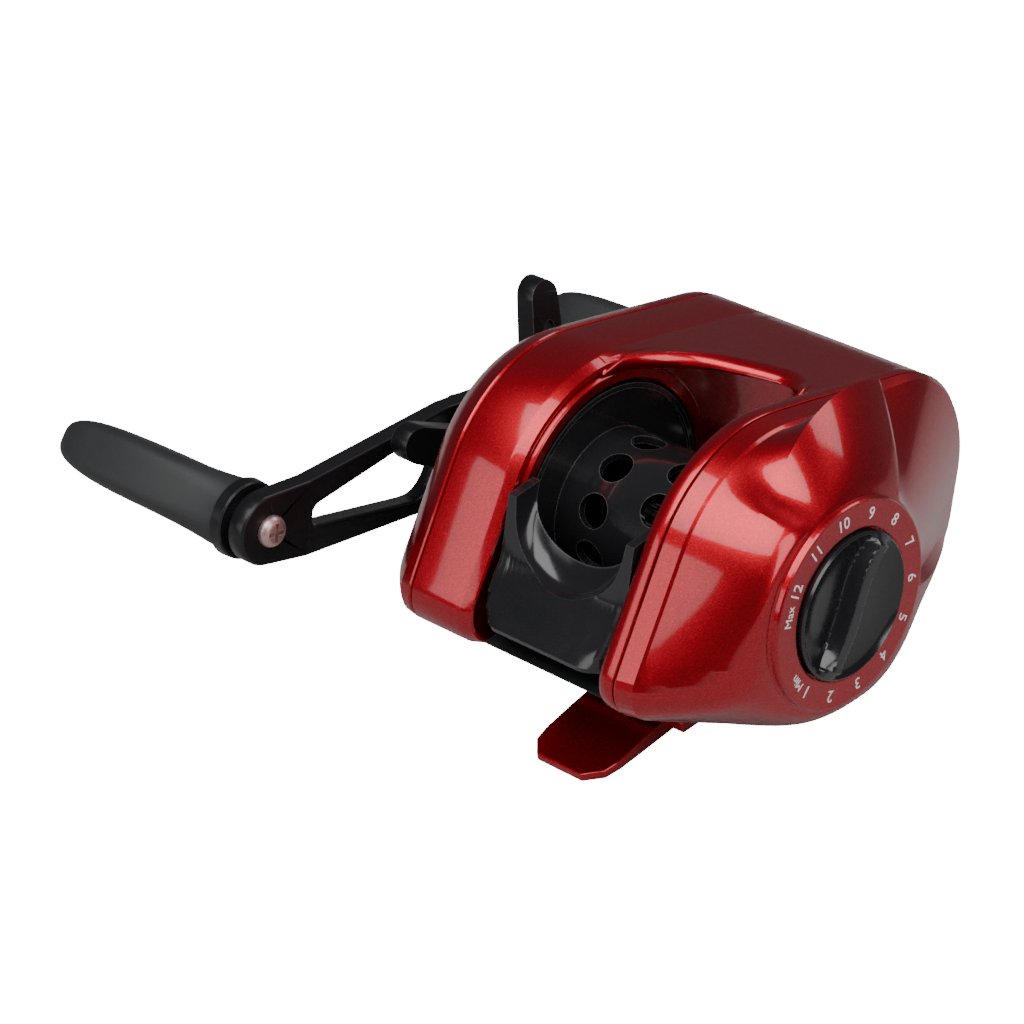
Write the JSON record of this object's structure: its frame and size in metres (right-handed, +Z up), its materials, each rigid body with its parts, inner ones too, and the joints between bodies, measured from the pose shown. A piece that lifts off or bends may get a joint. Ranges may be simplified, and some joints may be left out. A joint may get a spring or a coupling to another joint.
{
  "type": "baitcasting reel",
  "caption": "Low-profile baitcasting reel with double-knob handle, star drag, thumb bar clutch, level wind and magnetic brake dial.",
  "frame": {"origin": "middle of the reel foot's flat underside, where the rod's reel seat touches it", "axes": "+Y towards the rod tip, +Z up away from the rod, +X to the palm side; the handle is on -X"},
  "size_m": [0.1083, 0.1076, 0.0557],
  "materials": {
    "red_metal": "candy red gloss coat",
    "black_gloss": "gloss black",
    "black_satin": "satin black anodised",
    "black_rubber": "matte soft grip",
    "spool_black": "gloss black anodised",
    "steel": "ground steel",
    "screw_pink": "tinted plated steel",
    "brass": "cut brass",
    "aluminium": "satin",
    "magnet": "nickel plated",
    "fibre": "woven fibre drag washer",
    "polymer": "moulded",
    "ceramic": "polished",
    "spring": "spring wire"
  },
  "bodies": {
    "reel_frame": {"frame": "red_metal", "palm_side_plate": "red_metal", "gear_side_cover": "red_metal", "cover_screws": "steel", "thumb_bar_guard": "black_gloss", "brake_base": "polymer", "spool_bearing_palm": "steel", "spool_bearing_gear": "steel", "yoke_posts": "steel", "drive_shaft_bearing": "steel", "one_way_bearing": "steel", "worm_bushings": "polymer", "worm_tube": "black_satin", "guide_bar": "steel", "tension_shim": "fibre"},
    "spool_assembly": {"spool": "spool_black", "spool_shaft": "steel", "spool_pin": "steel"},
    "yoke": {"clutch_yoke": "polymer", "yoke_springs": "spring"},
    "pinion": {"pinion_gear": "brass"},
    "cam": {"clutch_cam": "steel"},
    "thumb_bar": {"thumb_bar": "black_gloss"},
    "crank": {"drive_shaft": "steel", "drive_gear": "brass", "levelwind_drive_gear": "polymer", "drag_washer": "fibre", "drag_pressure_plate": "steel", "one_way_sleeve": "steel", "spring_washers": "spring", "handle_arm": "black_satin", "handle_nut": "steel", "nut_retainer": "black_satin", "retainer_screw": "steel", "knob_post_near": "steel", "knob_post_far": "steel", "arm_screw_near": "screw_pink", "arm_screw_far": "screw_pink"},
    "star": {"star_drag": "black_satin"},
    "knob_near": {"knob_near": "black_rubber"},
    "knob_far": {"knob_far": "black_rubber"},
    "dial": {"brake_dial": "black_gloss"},
    "carrier": {"magnet_carrier": "polymer", "brake_magnets": "magnet"},
    "tension_cap": {"tension_knob": "black_satin"},
    "worm": {"worm_shaft": "steel", "worm_gear": "polymer"},
    "guide": {"line_guide": "black_gloss", "guide_ring": "ceramic", "levelwind_pawl": "steel", "pawl_cap": "brass"}
  },
  "joints": [
    {"name": "handle_turn", "type": "hinge", "parent": "reel_frame", "child": "crank", "pos_m": [0, 0.0088, 0.013], "axis": [1, 0, 0], "continuous": true},
    {"name": "spool_turn", "type": "hinge", "parent": "reel_frame", "child": "spool_assembly", "pos_m": [0, -0.003, 0.023], "axis": [1, 0, 0], "continuous": true},
    {"name": "worm_turn", "type": "hinge", "parent": "reel_frame", "child": "worm", "pos_m": [0, 0.024, 0.013], "axis": [1, 0, 0], "continuous": true},
    {"name": "thumb_bar_press", "type": "slide", "parent": "reel_frame", "child": "thumb_bar", "axis": [0, 0, -1], "range_m": [0, 0.003]},
    {"name": "clutch_yoke_slide", "type": "slide", "parent": "reel_frame", "child": "yoke", "axis": [-1, 0, 0], "range_m": [0, 0.0013], "deforming": ["yoke_springs"]},
    {"name": "pinion_turn", "type": "hinge", "parent": "yoke", "child": "pinion", "pos_m": [0, -0.003, 0.023], "axis": [1, 0, 0], "continuous": true},
    {"name": "clutch_cam_turn", "type": "hinge", "parent": "reel_frame", "child": "cam", "pos_m": [0, -0.003, 0.023], "axis": [1, 0, 0], "range_deg": [0, 9.6]},
    {"name": "star_drag_turn", "type": "hinge", "parent": "crank", "child": "star", "pos_m": [0, 0.0088, 0.013], "axis": [1, 0, 0], "range_deg": [-180, 180]},
    {"name": "knob_near_spin", "type": "hinge", "parent": "crank", "child": "knob_near", "pos_m": [-0.0415, -0.03712, 0.0273], "axis": [1, 0, 0], "continuous": true},
    {"name": "knob_far_spin", "type": "hinge", "parent": "crank", "child": "knob_far", "pos_m": [-0.0415, 0.05472, -0.0013], "axis": [1, 0, 0], "continuous": true},
    {"name": "brake_dial_turn", "type": "hinge", "parent": "reel_frame", "child": "dial", "pos_m": [0, -0.003, 0.023], "axis": [1, 0, 0], "range_deg": [0, 283]},
    {"name": "magnet_carrier_slide", "type": "slide", "parent": "reel_frame", "child": "carrier", "axis": [-1, 0, 0], "range_m": [0, 0.002]},
    {"name": "tension_knob_turn", "type": "hinge", "parent": "reel_frame", "child": "tension_cap", "pos_m": [0, -0.003, 0.023], "axis": [1, 0, 0], "range_deg": [-180, 180]},
    {"name": "line_guide_slide", "type": "slide", "parent": "reel_frame", "child": "guide", "axis": [1, 0, 0], "range_m": [-0.007, 0.007]}
  ],
  "couplings": [
    {"joint": "spool_turn", "follows": "handle_turn", "ratio": -6.3333},
    {"joint": "pinion_turn", "follows": "handle_turn", "ratio": -6.3333},
    {"joint": "worm_turn", "follows": "handle_turn", "ratio": -2},
    {"joint": "clutch_yoke_slide", "follows": "thumb_bar_press", "ratio": 0.43333},
    {"joint": "clutch_cam_turn", "follows": "thumb_bar_press", "rad_per_m": 55.269},
    {"joint": "brake_dial_turn", "follows": "magnet_carrier_slide", "rad_per_m": 2468.8}
  ]
}
